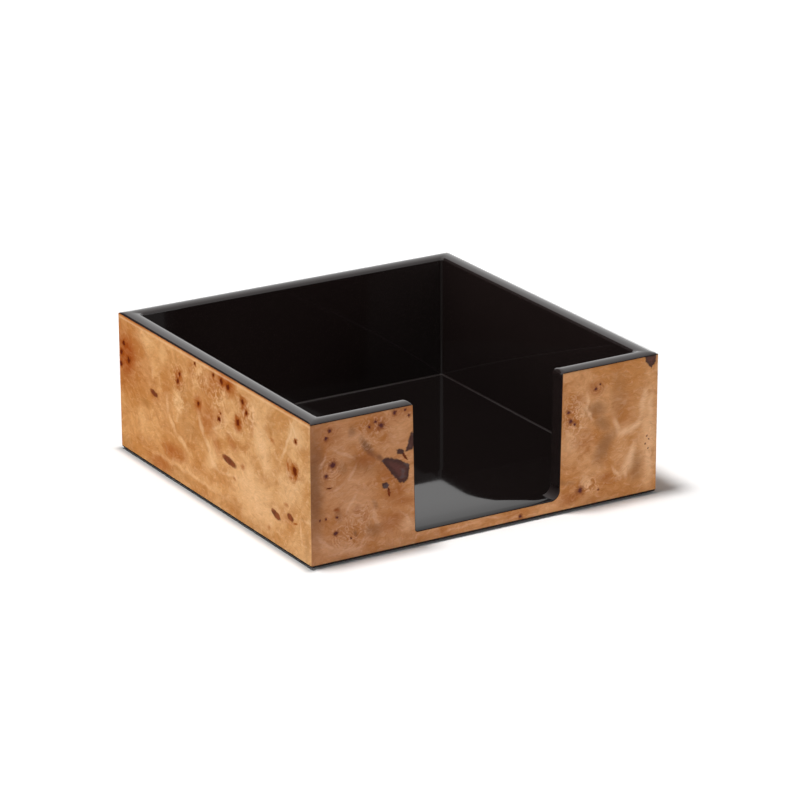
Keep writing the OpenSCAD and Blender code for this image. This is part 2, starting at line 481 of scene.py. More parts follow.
def makeBackSheet():
    low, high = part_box("back_veneer")
    bm = block(low, high)
    upright = [e for e in bm.edges if abs(e.verts[0].co.z - e.verts[1].co.z) > 1e-3
               and e.verts[0].co.y > high.y - 1e-6]
    bmesh.ops.bevel(bm, geom=upright, offset=veneer["cornerR"], segments=5, profile=0.5,
                    affect="EDGES", material=-1)
    return newPiece("backVeneer", bm, flatFaces=True)


# the front sheet: a strip below the rim that dips round the opening
def makeFrontSheet():
    easing = veneer["easing"]
    top = arc((easing, veneerTop - easing), easing, 180, 90, 3)
    low = arc((easing, veneerBottom + easing), easing, 270, 180, 3)
    section = [(x, z, 0, "outside") for x, z in low] + [(x, z, 0, "edge") for x, z in top]
    section += [(veneerT, veneerTop, 0, "edge"), (veneerT, veneerBottom, 0, "outside")]
    section.append(section[0])
    bm = wrapGrid([acrossFront(s, section) for s in frontStations(halfX)])
    ends = [e for e in bm.edges if e.is_boundary]
    bmesh.ops.holes_fill(bm, edges=ends, sides=0)
    upright = [e for e in bm.edges
               if all(abs(abs(v.co.x) - halfX) < 1e-6 and v.co.y < easing / 2 - halfY
                      for v in e.verts) and e.calc_length() > veneerTop / 2]
    bmesh.ops.bevel(bm, geom=upright, offset=veneer["cornerR"], segments=5, profile=0.5,
                    affect="EDGES", material=-1)
    return newPiece("frontVeneer", bm, flatFaces=True)


# a slab cut from pressed felt
felt = {
    "cornerR": 3 * mm,
    "edgeR": 0.5 * mm,
    "nap": 0.3 * mm,
    "fibre": 900,  # this and the next two are noise scales, in waves to a metre
    "tangle": 400,
    "cloud": 60,
    "reach": 4 * mm,  # of the tangle
    "tones": ((0.012, 0.012, 0.013, 1), (0.045, 0.044, 0.046, 1)),
}


def makeFelt():
    bm = block(*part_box("felt_pad"))
    upright = [e for e in bm.edges if abs(e.verts[0].co.z - e.verts[1].co.z) > 1e-4]
    bmesh.ops.bevel(bm, geom=upright, offset=felt["cornerR"], segments=6, profile=0.5,
                    affect="EDGES", material=-1)
    level = [e for e in bm.edges if abs(e.verts[0].co.z - e.verts[1].co.z) < 1e-6]
    bmesh.ops.bevel(bm, geom=level, offset=felt["edgeR"], segments=3, profile=0.5,
                    affect="EDGES", material=-1)
    return newPiece("feltPad", bm, 80)


# black lacquer, rubbed to a mirror: a faint orange peel, dust nibs and polishing haze, and a surface
# that falls away towards the sill, where it was rubbed down most; its colour also carries a highlight
# painted into the inner corners and painted shade on the box's floor
lacquer = {
    "tones": ((0.022, 0.0145, 0.0135, 1), (0.014, 0.0092, 0.0088, 1)),
    # the box's floor, painted darker than the walls as painted shade
    "floorTone": (0.001, 0.0008, 0.0008, 1),
    # the paler colour painted into the inner corners as a highlight, over the dull lacquer there
    "paintedHighlightTone": (0.042, 0.038, 0.037, 1),
    "rough": (0.02, 0.05),  # where it is clearest and where it is haziest
    "peel": 260,  # this and the next four are noise scales, in waves to a metre
    "wave": 38,
    "nibs": 210,
    "haze": 14,
    "rubbing": (30, 300, 300),
    "relief": 0.003 * mm,
    "leanStart": 62 * mm,  # behind the front face
    "lean": 0.0145,  # from there to the sill
    "fallStart": 31 * mm,
    "fall": 32.7,  # the drop in metres is this times the cube of the metres past the start
    "lips": [(14 * mm, 2.3), (4 * mm, 28)],  # the same with the square of the metres past each start
    "crown": 27,  # the rim's rise in metres is this times the square of half its width in metres
    "rimZ": (66 * mm, 69 * mm),  # where that starts and where it is full
    "dullAndPaintedHighlight": 1.1 * mm,  # how far out of an inner corner the buffing cloth left it dull and a highlight is painted into its colour
    "uprightRough": 0.04,  # added in the upright inner corners
    "levelShare": 0.5,  # how dull, and how strongly painted paler as a highlight, the floor's edges are beside the upright corners
    "sillRough": 0.5,  # added in the opening's round lower corners
    "sillRound": (3 * mm, 7 * mm),  # how far above the sill those corners fade out
    "edge": 0.1 * mm,  # over which they start
    "skin": (0.03 * mm, 0.06 * mm),  # what is above the floor by less is its own face
}


# how far the surface falls away towards the sill, in metres
def sillFall(y):
    down = (lacquer["fallStart"] - halfY - y).atLeast(0) ** 3 * lacquer["fall"]
    for start, fall in lacquer["lips"]:
        down = down + (start - halfY - y).atLeast(0) ** 2 * fall
    return down + (lacquer["leanStart"] - halfY - y).atLeast(0) * lacquer["lean"]


# how far the polish rounds the rim up beyond its board, in metres
def rimRise(x, y, z):
    across = (halfX - x.size()).atMost(halfY - y.size()).atMost(wallT) - wallT / 2
    crown = ((wallT / 2) ** 2 - across ** 2) * lacquer["crown"]
    return crown * z.ease(*lacquer["rimZ"])


# the upright inner corners and the floor's edges, where two of these gaps close
def innerCorners(x, y, z):
    gapX = (halfX - wallT - x.size()).size()
    gapY = (halfY - wallT - y).size()
    gapZ = (z - floorTop).size()
    near = (lacquer["dullAndPaintedHighlight"] * 0.3, lacquer["dullAndPaintedHighlight"])
    upright = gapX.atLeast(gapY).ease(*near, 1, 0)
    level = gapX.atMost(gapY).atLeast(gapZ).ease(*near, lacquer["levelShare"], 0)
    return upright, level


# the opening's round lower corners, above the sill and no deeper than the front wall
def sillRounds(y, z):
    above = z.ease(floorTop + lacquer["skin"][0], floorTop + lacquer["edge"])
    above = above * z.ease(*(floorTop + top for top in lacquer["sillRound"]), 1, 0)
    return above * y.ease(wallT - halfY, wallT - halfY + lacquer["edge"], 1, 0)


def lacquerPaint():
    paint = newPaint("blackLacquer")
    place = paint.place()
    peel = paint.noise(place, lacquer["peel"], 2, 0.4)
    wave = paint.noise(place, lacquer["wave"], 1)
    nibs = paint.add("TexVoronoi", None, {"Vector": place, "Scale": lacquer["nibs"]})
    nibs = nibs.ease(0.02, 0.09, 1, 0)
    haze = paint.noise(place, lacquer["haze"], 3, 0.6)
    rubbing = paint.noise(paint.vector("MULTIPLY", place, lacquer["rubbing"]), 1, 2)
    height = peel * 0.4 + wave * 0.8 + nibs * 0.25 + rubbing * 0.3

    spots = paint.add("SeparateXYZ", None, {0: place})
    x, y, z = (Wire(paint, socket) for socket in spots.socket.node.outputs)
    onFloor = z.ease(floorTop - 1 * mm, floorTop - 0.5 * mm)
    onFloor = onFloor * z.ease(*(floorTop + skin for skin in lacquer["skin"]), 1, 0)
    height = height - sillFall(y) * onFloor / lacquer["relief"]
    height = height + rimRise(x, y, z) / lacquer["relief"]

    upright, level = innerCorners(x, y, z)
    dullAndPaintedHighlight = upright.atLeast(level)
    rough = upright * lacquer["uprightRough"] + level + sillRounds(y, z) * lacquer["sillRough"]

    base = paint.mix(haze, *lacquer["tones"])
    # painted shade: the lacquer on the box's floor is mixed darker than on the walls
    base = paint.mix(onFloor * 0.7, base, lacquer["floorTone"])
    # painted highlight: the inner corners' colour is mixed paler where the dull lacquer would catch the
    # lamps
    base = paint.mix(dullAndPaintedHighlight * wave.ease(0.35, 0.6, 0.25, 0.6), base, lacquer["paintedHighlightTone"])
    return paint.finish({
        "Base Color": base,
        "Roughness": haze.ease(0.3, 0.75, *lacquer["rough"]) + rough,
        "IOR": 1.5,
        "Normal": paint.bump(height, lacquer["relief"]),
    })


def feltPaint():
    paint = newPaint("blackFelt")
    place = paint.place()
    tangled = paint.pushed(place, place, felt["tangle"], (felt["reach"],) * 3)
    fibre = paint.noise(tangled, felt["fibre"], 3, 0.7)
    cloud = paint.noise(place, felt["cloud"], 2)
    return paint.finish({
        "Base Color": paint.mix(fibre.ease(0.35, 0.7), *felt["tones"]),
        "Roughness": 0.95,
        "Specular IOR Level": 0.2,
        "Sheen Weight": 0.3,
        "Normal": paint.bump(fibre + cloud * 0.5, felt["nap"]),
    })


# bright wire, with draw marks along it
brad = {
    "tones": ((0.62, 0.62, 0.64, 1), (0.38, 0.36, 0.35, 1)),
    "stain": 320,  # this and the next are noise scales, in waves to a metre
    "drawn": (900, 900, 60),
    "markDepth": 0.01 * mm,
}


def bradPaint():
    paint = newPaint("bradWire")
    place = paint.place()
    drawn = paint.noise(paint.vector("MULTIPLY", place, brad["drawn"]), 1, 3)
    stain = paint.noise(place, brad["stain"], 3)
    return paint.finish({
        "Base Color": paint.mix(stain.ease(0.4, 0.7), *brad["tones"]),
        "Metallic": 1.0,
        "Roughness": drawn.ease(0.3, 0.7, 0.25, 0.45),
        "Normal": paint.bump(drawn, brad["markDepth"]),
    })


# burl veneer, with places on a sheet as (along it, up from its bottom edge) in mm, seen from outside;
# a mark is (along, up, length, width, turn in degrees), a wash is the same with its strength as the
# last number, and a knot or swirl is (along, up, radius)
burl = {
    "pale": srgb(232, 186, 136),
    "light": srgb(216, 164, 110),
    "honey": srgb(200, 142, 84),
    "amber": srgb(176, 110, 52),
    "cream": srgb(240, 202, 158),
    "line": srgb(162, 102, 54),
    "cut": srgb(132, 64, 34),
    "cutDark": srgb(104, 46, 26),
    "barkHeart": srgb(96, 66, 62),
    "barkEdge": srgb(72, 54, 52),
    "barkAsh": srgb(92, 84, 84),
    "lacquer": (0.01, 0.008, 0.008, 1),
    "fray": (0.7, 1.3),  # this and the next four push the figure about: waves to a mm, and mm
    "quiver": (0.4, 1.1),
    "wave": (0.22, 4),
    "sway": (0.09, 5),
    "roll": (0.045, 18),
    "lineGap": 1.6,  # mm between growth rings
    "edgeRound": 1.3,  # mm of the sheet's top and ends that sanding rounded over
    "lap": 0.3,  # mm that black lacquer runs onto the front sheet's edges
}

frontFigure = {
    "seed": (31, 7, 0),
    "tints": ((0.75, 0.65, 0.73, 1), (0.98, 0.91, 0.95, 1)),
    "bend": 0.0008,
    "middle": 60,
    "slant": -35,
    "knotCore": srgb(96, 58, 54),
    "knotRing": srgb(150, 92, 58),
    "stain": srgb(146, 106, 72),
    "halo": srgb(158, 88, 38),
    "knots": [
        (9.9, 64.1, 0.7), (8.1, 60.9, 0.7), (30.7, 62.4, 0.6), (34.1, 64.3, 0.6), (37.1, 61.7, 1.15),
        (44.3, 66.8, 1), (50, 67, 0.45), (51.8, 63.9, 0.65), (11.4, 47.4, 1.35), (8.1, 42.7, 0.75),
        (13.4, 21.7, 0.6), (12.6, 13.8, 0.95), (20.7, 10, 0.4), (154.8, 57.8, 0.75), (139.4, 48.7, 0.7),
        (140.7, 44.1, 0.9), (143, 42.2, 0.65), (146.4, 8.2, 1.25), (156.9, 6.8, 0.5), (113, 1.9, 0.8),
        (4.4, 21.6, 0.4), (7.5, 21.9, 0.4), (157.2, 59.5, 0.4), (184.4, 28.6, 0.3), (185.6, 27, 0.3),
        (183.6, 24.6, 0.3), (185.2, 22.4, 0.3)],
    "slashes": [(41, 28.8, 1.5, 5, 6), (9.4, 36.6, 3, 0.9, 4), (49.6, 44.4, 1.3, 5, 34)],
    "swirls": [
        (10, 63.5, 6), (36, 63, 6), (11, 45, 8), (28.3, 20.3, 6), (17, 10, 9), (155, 58, 6), (142, 45, 8),
        (150, 10.5, 6), (142, 5, 4), (47, 66, 6)],
    "halos": [
        (155, 58, 9, 8, 0, 0.6), (141, 47, 9, 14, 0, 0.45), (10, 62, 12, 9, 0, 0.35),
        (36, 63, 14, 8, 0, 0.45), (48, 66.5, 14, 8, 0, 0.5), (141, 4.5, 14, 6, 12, 0.6),
        (44, 27, 12, 9, 0, 0.4), (29, 47, 13, 9, 0, 0.5), (42, 14, 14, 8, 20, 0.55),
        (49, 23, 12, 5, -10, 0.5), (161.6, 12.8, 7, 6, 0, 0.6), (143.5, 53, 9, 5, 20, 0.4),
        (149, 33, 16, 10, 0, 0.3), (40, 39, 9, 12, 30, 0.4), (24.8, 22.7, 4, 4, 0, 0.5),
        (28.3, 20.2, 5, 5, 0, 0.4), (13.2, 25.3, 3.4, 2.2, 8, 0.9), (172, 44, 13, 20, 0, 0.2)],
    "stains": [
        (31, 52, 15, 4, -52, 0.95), (36, 46.4, 7, 2.6, -52, 0.9), (155.4, 47.4, 13, 9, 0, 0.6),
        (160, 28, 20, 10, 62, 0.65), (1.5, 38, 11, 62, 0, 0.75), (21.4, 61.4, 5, 5.4, 0, 0.6),
        (23.2, 12.5, 2.6, 4, 20, 0.8), (13.6, 22.8, 4, 7, 0, 0.4), (16.5, 45, 5, 8, 30, 0.4),
        (33, 12, 10, 7, 0, 0.55), (178, 14, 9, 17, -14, 0.55), (33.6, 24, 5, 3, -50, 0.5),
        (136, 14, 14, 3, -8, 0.4), (159, 40, 8, 10, 20, 0.55), (27, 44, 20, 9, -20, 0.35),
        (168, 52, 10, 26, 0, 0.3)],
    "pales": [
        (26, 58, 14, 6, -20, 0.5), (22, 36, 9, 14, 20, 0.35), (22, 24, 16, 14, 40, 0.4),
        (51, 10.5, 9, 8, 0, 0.7), (16, 5, 26, 6, -12, 0.5), (185.5, 29, 11, 40, 0, 0.9),
        (184.5, 8, 6, 14, 0, 0.5), (172, 34, 20, 9, 0, 0.6), (174, 18, 18, 7, 60, 0.6),
        (148, 50, 8, 16, 10, 0.5), (150.2, 11.2, 8, 7, 0, 0.8), (141.5, 32, 8, 12, 0, 0.5),
        (170, 24, 9, 16, 0, 0.35), (45, 55, 10, 8, 0, 0.35), (3, 12, 8, 10, 0, 0.4),
        (184, 46, 8, 12, 0, 0.5)],
    "creams": [
        (166.6, 37.4, 11, 3.4, -64, 0.6), (172, 32.6, 10, 4.4, -20, 0.7), (178, 35, 11, 4.6, 48, 0.7),
        (182, 46, 3.4, 18, -6, 0.55), (174.5, 20, 19, 4.6, 60, 0.7), (171.3, 12.5, 2.4, 8, 10, 0.6),
        (167, 14, 9, 1.6, -58, 0.6), (187, 44, 3, 14, 0, 0.5), (186, 16, 4, 12, 10, 0.5),
        (110, 1.3, 8, 1.2, 0, 0.4), (6.4, 50, 2, 9, -20, 0.5), (17.5, 51.6, 12, 2, -36, 0.6),
        (14, 35.8, 8, 2, 24, 0.5), (21.4, 41.6, 2, 8, -24, 0.5), (20, 4, 20, 2, 6, 0.5),
        (7, 9.6, 10, 2, -40, 0.5), (28, 7.5, 8, 2, 36, 0.4), (21, 26.4, 12, 1.8, 58, 0.5),
        (34, 19, 2, 9, 14, 0.5), (151.5, 44.6, 6, 1.6, -52, 0.7), (149.6, 51.5, 2, 8, 0, 0.6),
        (146, 39.6, 8, 1.2, -14, 0.6), (50, 15, 9, 1.4, -56, 0.4), (80, 3.2, 22, 1.4, 4, 0.4),
        (96, 4.6, 12, 1.2, -8, 0.4)],
    "curls": [
        (143, 45, 14, 26, 0, 1), (22, 14, 22, 18, 0, 0.7), (151, 10, 14, 10, 0, 1),
        (168, 13, 10, 8, 0, 0.5), (10, 44, 13, 14, 0, 0.6), (34, 62, 24, 12, 0, 0.7),
        (27, 21, 12, 9, 0, 0.8), (32, 55, 16, 10, 0, 0.6), (186, 25, 6, 20, 0, 0.6)],
    "barks": [
        ((37.2, 44.4), (39.2, 45.8), (45.7, 43.9), (52.2, 39.8), (51.3, 33), (49.3, 31.4), (46.6, 32.2),
         (42.6, 37.2)), ((49.8, 46.4), (52.4, 54), (53.8, 56), (55, 50), (54, 47.2)),
        ((37.3, 33.4), (39.6, 33.6), (41.4, 31.8), (39.6, 30.2), (37.8, 31)),
        ((45, 48.4), (47, 48.8), (49.4, 47.4), (48.6, 45.8), (45.8, 46)),
        ((180.2, 69), (183, 66), (183.6, 63), (186.3, 62.2), (188.9, 65.4), (189, 69))],
}

leftFigure = {
    "seed": (5, 53, 0),
    "tints": ((1.05, 1.1, 1.17, 1), (1.03, 0.94, 0.78, 1)),
    "bend": 0.0065,
    "middle": 95,
    "slant": -28,
    "knotCore": srgb(100, 32, 0),
    "knotRing": srgb(158, 78, 14),
    "stain": srgb(166, 114, 64),
    "halo": srgb(162, 76, 12),
    "knots": [
        (179.7, 47.3, 1.5), (187.2, 49.6, 1.4), (188, 43.1, 1.2), (184.4, 55, 1.2), (126.2, 56, 0.9),
        (128, 51.7, 1.3), (110.2, 65.8, 0.8), (107.6, 46.8, 1), (91.9, 65.6, 0.9), (84.2, 64.9, 1.5),
        (77.6, 63.8, 1.7), (63.7, 60.6, 1.6), (60.1, 56.2, 1.2), (68.6, 49.1, 1.6), (87.1, 45.1, 1),
        (85.4, 48.4, 0.6), (13.8, 56.6, 1.1), (14.8, 42.2, 2)],
    "slashes": [
        (153.4, 38.2, 8, 3, 8), (77.7, 27, 13.6, 3.9, 6), (33.2, 14.8, 9, 3.7, 14),
        (19.6, 17.8, 6, 3.4, 14)],
    "swirls": [(127, 52, 8), (82, 63, 8), (66, 55, 9), (87, 45, 7), (17, 41, 8), (184, 48, 12)],
    "halos": [
        (183, 50, 44, 40, 0, 0.5), (182, 50, 24, 27, 0, 1), (80, 64.5, 22, 10, 0, 0.9),
        (62, 58.5, 9, 12, 20, 0.75), (68.5, 49, 9, 8, 0, 0.75), (127.3, 54, 8, 11, 0, 0.8),
        (107.8, 47, 9, 10, 0, 0.85), (98, 42, 22, 16, -30, 0.5), (92, 62, 12, 10, 0, 0.6),
        (134, 13.6, 24, 9, -4, 0.6), (148, 4, 24, 8, 0, 0.55), (86, 47, 10, 8, 0, 0.5),
        (160, 46, 14, 24, 10, 0.25), (140, 40, 12, 26, 10, 0.25), (95, 60, 26, 14, 0, 0.4),
        (114, 62, 8, 14, 0, 0.3), (17, 41, 12, 9, 0, 0.5), (24, 17, 14, 8, 0, 0.35),
        (90, 31, 12, 8, 40, 0.4), (75, 37, 12, 6, 30, 0.45), (55, 51, 5, 10, 0, 0.35),
        (64.4, 28, 4, 3.6, 0, 0.7), (73.7, 19, 3.6, 2.4, 0, 0.6), (35.5, 50, 4, 2.6, 0, 0.6),
        (23.4, 22.9, 4.6, 2.2, 0, 0.6), (40.6, 6.2, 2.6, 3, 0, 0.5), (152, 37, 12, 7, 0, 0.4),
        (14.6, 16.2, 5, 1.3, -14, 1), (21.4, 42.6, 1.8, 5, -15, 1), (19, 38, 5.4, 1.4, -12, 1),
        (86, 49, 4, 1.2, 20, 1)],
    "stains": [
        (162.5, 30.5, 9, 4.6, 10, 0.5), (116, 30, 22, 12, 0, 0.35), (120, 44, 16, 14, 0, 0.25),
        (36, 58, 8, 14, -20, 0.25), (50, 3, 40, 6, 0, 0.2), (130, 4, 40, 5, 0, 0.3),
        (78, 6, 30, 5, 0, 0.2), (5, 9, 5, 14, 0, 0.4), (184, 4, 14, 8, 0, 0.3)],
    "pales": [
        (163, 63, 20, 9, 6, 0.75), (166, 19, 12, 18, 0, 0.6), (57, 18, 44, 26, 10, 0.75),
        (46, 44, 14, 36, -30, 0.7), (20, 30, 26, 16, 0, 0.3), (128, 42, 9, 14, -8, 0.5),
        (144, 60, 8, 14, 0, 0.5), (99, 62, 8, 8, 0, 0.4), (95, 22, 20, 8, -40, 0.6),
        (86, 39, 14, 5, -10, 0.4), (12, 58, 14, 10, 0, 0.5), (112, 9, 50, 6, 0, 0.35),
        (188, 25, 8, 12, 0, 0.4), (68, 43, 12, 6, 0, 0.4), (154, 52, 6, 8, 0, 0.4)],
    "creams": [
        (139.6, 37, 3.4, 11, 8, 0.5), (134.5, 28.4, 14, 3.4, 42, 0.55), (125, 21.6, 12, 3.6, 28, 0.55),
        (105.8, 37.5, 13, 3.2, 62, 0.55), (99, 27.5, 15, 3.6, 48, 0.65), (91.5, 20.8, 11, 3.4, 30, 0.55),
        (127.6, 44, 7, 2.2, 20, 0.7), (131, 41.4, 6, 1.6, -30, 0.6), (128, 36.5, 5, 2.4, 10, 0.7),
        (129, 33, 2.4, 5, 0, 0.5), (155, 48, 3, 6, 0, 0.4), (123, 7.4, 90, 2.2, 0, 0.35),
        (22, 53, 2.4, 26, 30, 0.5), (76, 20, 30, 1.6, -6, 0.3), (16, 62, 10, 1.6, 50, 0.5),
        (163, 65.5, 14, 2.4, 8, 0.5), (88, 41, 10, 1.6, -18, 0.5), (76, 41, 9, 1.4, 20, 0.4),
        (53.6, 57, 2, 9, 10, 0.5), (9.5, 13, 1.6, 14, 0, 0.4), (5, 20, 10, 1.4, 0, 0.3)],
    "curls": [
        (127.5, 42, 15, 12, 0, 1), (106, 60, 20, 14, 0, 0.8), (58, 55, 16, 18, 0, 0.8),
        (88, 56, 18, 16, 0, 0.9), (128, 54, 18, 18, 0, 0.7), (84, 46, 12, 9, 0, 0.8),
        (16, 38, 11, 10, 0, 0.6)],
    "barks": [],
}

rightFigure = {
    "seed": (83, 21, 0),
    "tints": ((0.98, 0.94, 0.86, 1), (1.02, 1.02, 1.04, 1)),
    "bend": -0.004,
    "middle": 120,
    "slant": 30,
    "knotCore": srgb(80, 38, 14),
    "knotRing": srgb(150, 80, 24),
    "stain": srgb(158, 108, 66),
    "halo": srgb(160, 78, 18),
    "knots": [
        (14, 20, 1.5), (17, 24, 0.8), (22, 18, 0.9), (46, 55, 1.7), (50, 52, 0.8), (53, 58, 0.7),
        (74, 30, 1), (78, 26, 1.6), (83, 31, 0.7), (104, 60, 0.9), (109, 57, 1.4), (131, 17, 1.6),
        (135, 21, 0.8), (137, 14, 0.8), (152, 46, 1.1), (157, 49, 0.7), (171, 28, 1.4), (176, 60, 0.9),
        (60, 8, 0.8), (33, 38, 0.7)],
    "slashes": [
        (93, 44, 11, 3.4, 14), (24, 58, 8, 2.8, -20), (116, 36, 6, 2.4, 30), (164, 12, 10, 3.4, -6)],
    "swirls": [
        (17, 21, 12), (49, 55, 11), (78, 29, 14), (106, 58, 9), (134, 17, 12), (154, 47, 9), (172, 28, 8)],
    "halos": [
        (78, 28, 28, 24, 0, 0.7), (133, 17, 24, 20, 0, 0.6), (48, 55, 18, 12, 0, 0.6),
        (172, 28, 12, 12, 0, 0.5), (17, 21, 20, 14, 0, 0.6), (106, 58, 18, 12, 0, 0.5),
        (154, 47, 12, 10, 0, 0.5), (60, 10, 20, 8, 0, 0.4), (120, 40, 20, 12, 30, 0.3)],
    "stains": [
        (60, 42, 18, 8, 20, 0.5), (150, 28, 16, 7, -30, 0.5), (110, 20, 12, 7, 10, 0.4),
        (40, 22, 6, 5, 0, 0.5)],
    "pales": [
        (35, 40, 26, 16, -30, 0.7), (120, 50, 30, 16, 20, 0.6), (95, 14, 30, 14, 0, 0.6),
        (165, 52, 18, 18, 0, 0.5), (60, 62, 16, 8, 0, 0.5), (180, 14, 12, 18, 0, 0.5)],
    "creams": [
        (35, 30, 24, 2.6, -38, 0.6), (120, 48, 26, 2.6, 30, 0.6), (66, 60, 2.4, 14, 10, 0.5),
        (145, 60, 18, 2.2, -14, 0.5), (95, 12, 30, 2, 8, 0.5), (49, 44, 6, 5, 0, 0.6),
        (160, 36, 14, 2.2, 40, 0.6)],
    "curls": [
        (18, 26, 16, 16, 0, 0.8), (80, 34, 18, 14, 0, 0.9), (134, 22, 16, 14, 0, 0.8),
        (50, 56, 16, 14, 0, 0.8), (154, 46, 12, 12, 0, 0.8)],
    "barks": [((8, 44), (9.4, 46.4), (12.6, 46), (13.4, 42), (12, 38.4), (9.6, 39.6))],
}

backFigure = {
    "seed": (13, 97, 0),
    "tints": ((0.96, 0.93, 0.9, 1), (1, 0.98, 0.95, 1)),
    "bend": 0.003,
    "middle": 70,
    "slant": 24,
    "knotCore": srgb(82, 44, 28),
    "knotRing": srgb(150, 84, 34),
    "stain": srgb(156, 108, 70),
    "halo": srgb(158, 84, 30),
    "knots": [
        (20, 50, 1.6), (24, 53, 0.8), (28, 48, 0.9), (41, 22, 0.9), (45, 19, 1.5), (63, 58, 0.8),
        (67, 61, 1.1), (88, 39, 1.7), (93, 42, 0.9), (90, 34, 0.7), (112, 12, 1.4), (117, 15, 0.7),
        (128, 54, 1.5), (133, 50, 0.8), (149, 30, 1), (154, 26, 1.6), (158, 31, 0.7), (176, 52, 1.3),
        (181, 14, 0.9), (9, 14, 0.8)],
    "slashes": [(55, 40, 9, 3, 24), (104, 60, 10, 3.2, -12), (138, 12, 8, 2.8, 10)],
    "swirls": [
        (23, 50, 12), (43, 21, 9), (65, 59, 8), (90, 39, 14), (114, 13, 8), (130, 52, 10), (154, 29, 12),
        (177, 52, 9)],
    "halos": [
        (24, 50, 20, 16, 0, 0.6), (90, 39, 30, 22, 0, 0.7), (153, 29, 20, 16, 0, 0.6),
        (44, 20, 12, 10, 0, 0.6), (130, 52, 16, 12, 0, 0.6), (65, 59, 12, 9, 0, 0.5),
        (177, 52, 12, 12, 0, 0.5), (114, 13, 12, 10, 0, 0.5)],
    "stains": [
        (70, 18, 16, 8, -20, 0.5), (120, 34, 18, 7, 30, 0.4), (10, 34, 10, 16, 0, 0.5),
        (34, 36, 6, 5, 0, 0.4)],
    "pales": [
        (55, 30, 26, 14, 30, 0.7), (108, 26, 24, 14, -30, 0.6), (144, 50, 14, 18, 0, 0.6),
        (170, 34, 18, 12, 30, 0.6), (30, 64, 30, 8, 0, 0.5), (20, 8, 24, 8, 0, 0.5)],
    "creams": [
        (60, 30, 24, 2.6, 34, 0.6), (105, 28, 22, 2.6, -40, 0.6), (140, 44, 2.4, 16, 12, 0.5),
        (168, 38, 20, 2.4, 40, 0.6), (35, 64, 26, 2, 4, 0.5), (92, 52, 6, 4, 0, 0.6)],
    "curls": [
        (26, 46, 16, 14, 0, 0.8), (92, 44, 18, 14, 0, 0.9), (152, 24, 16, 14, 0, 0.8),
        (66, 56, 12, 12, 0, 0.8), (130, 48, 12, 12, 0, 0.8)],
    "barks": [((167, 9), (169, 11.4), (174, 11.8), (176.6, 9.4), (174.4, 6.8), (170, 6.4))],
}


def sheetPlace(paint, side):
    spots = paint.add("SeparateXYZ", None, {0: paint.place()})
    x, y, z = (Wire(paint, socket) for socket in spots.socket.node.outputs)
    along = {"front": x + halfX, "back": halfX - x, "left": y + halfY, "right": y + halfY}[side]
    return along / mm, (z - veneerBottom) / mm


# a place on a sheet, and what it becomes when it is pushed about a little or a lot
def burlPlaces(paint, side, seed):
    along, up = sheetPlace(paint, side)
    flat = paint.add("CombineXYZ", None, {0: along, 1: up})
    seeded = paint.vector("ADD", flat, seed)

    def pushed(place, push):
        scale, reach = burl[push]
        return paint.pushed(place, seeded, scale, (reach, reach, 0))

    fuzzy = pushed(flat, "fray")
    gentle = pushed(pushed(flat, "sway"), "quiver")
    wavy = pushed(fuzzy, "wave")
    return {"along": along, "up": up, "seeded": seeded, "fuzzy": fuzzy, "gentle": gentle,
            "wavy": wavy, "rolling": pushed(wavy, "roll")}


# how near a mark's middle is: from 1 there down to 0 half as far again as its outline
def markNear(paint, place, along, up, length, width, turn):
    inside = paint.add("Mapping", {"vector_type": "TEXTURE"},
                       {"Vector": place, "Location": (along, up, 0),
                        "Rotation": (0, 0, math.radians(turn)),
                        "Scale": (length * 0.75, width * 0.75, 1)})
    return paint.add("TexGradient", {"gradient_type": "SPHERICAL"}, {"Vector": inside}, 1)


def nearest(paint, place, marks):
    return reduce(Wire.atLeast, (markNear(paint, place, *mark) for mark in marks))


# the share of a tone that is washed over each place
def washed(paint, place, washes):
    return reduce(Wire.atLeast, (markNear(paint, place, *mark).ease(0, 0.85, 0, strength)
                                 for *mark, strength in washes))


# how far off the nearest knot is, in its own radii
def nearestKnot(paint, place, knots):
    return reduce(Wire.atMost, (paint.vector("DISTANCE", place, (along, up, 0), "Value") / radius
                                for along, up, radius in knots))


# how far outside a straight-sided patch a place is, in mm
def beyondBark(paint, place, corners):
    centre = sum((Vector(c) for c in corners), Vector((0, 0))) / len(corners)

    def beyondSide(start, end):
        side = Vector(end) - Vector(start)
        away = Vector((side.y, -side.x)).normalized()
        if away.dot(Vector(start) - centre) < 0:
            away = -away
        reach = paint.vector("DOT_PRODUCT", place, (away.x, away.y, 0), "Value")
        return reach - away.dot(Vector(start))

    return reduce(Wire.atLeast, map(beyondSide, corners, corners[1:] + corners[:1]))


# growth lines: the contours of a slope that swells round each swirl, and rings at the swirls alone
def growthLines(paint, at, figure):
    spots = paint.add("SeparateXYZ", None, {0: at["rolling"]})
    along, up = (Wire(paint, spots.socket.node.outputs[k]) for k in ("X", "Y"))
    height = up - (along - figure["middle"]) ** 2 * figure["bend"]
    lineTurn = 2 * math.pi / burl["lineGap"]
    rings = None
    for centreAlong, centreUp, radius in figure["swirls"]:
        off = paint.vector("DISTANCE", at["gentle"], (centreAlong, centreUp, 0), "Value")
        height = height + off.ease(0, radius, radius * 1.2, 0)
        ring = (off * lineTurn).sine() * off.ease(radius * 0.3, radius * 1.3, 1, 0)
        rings = rings + ring if rings else ring
    return (height * (lineTurn / 4) + 1).sine(), rings


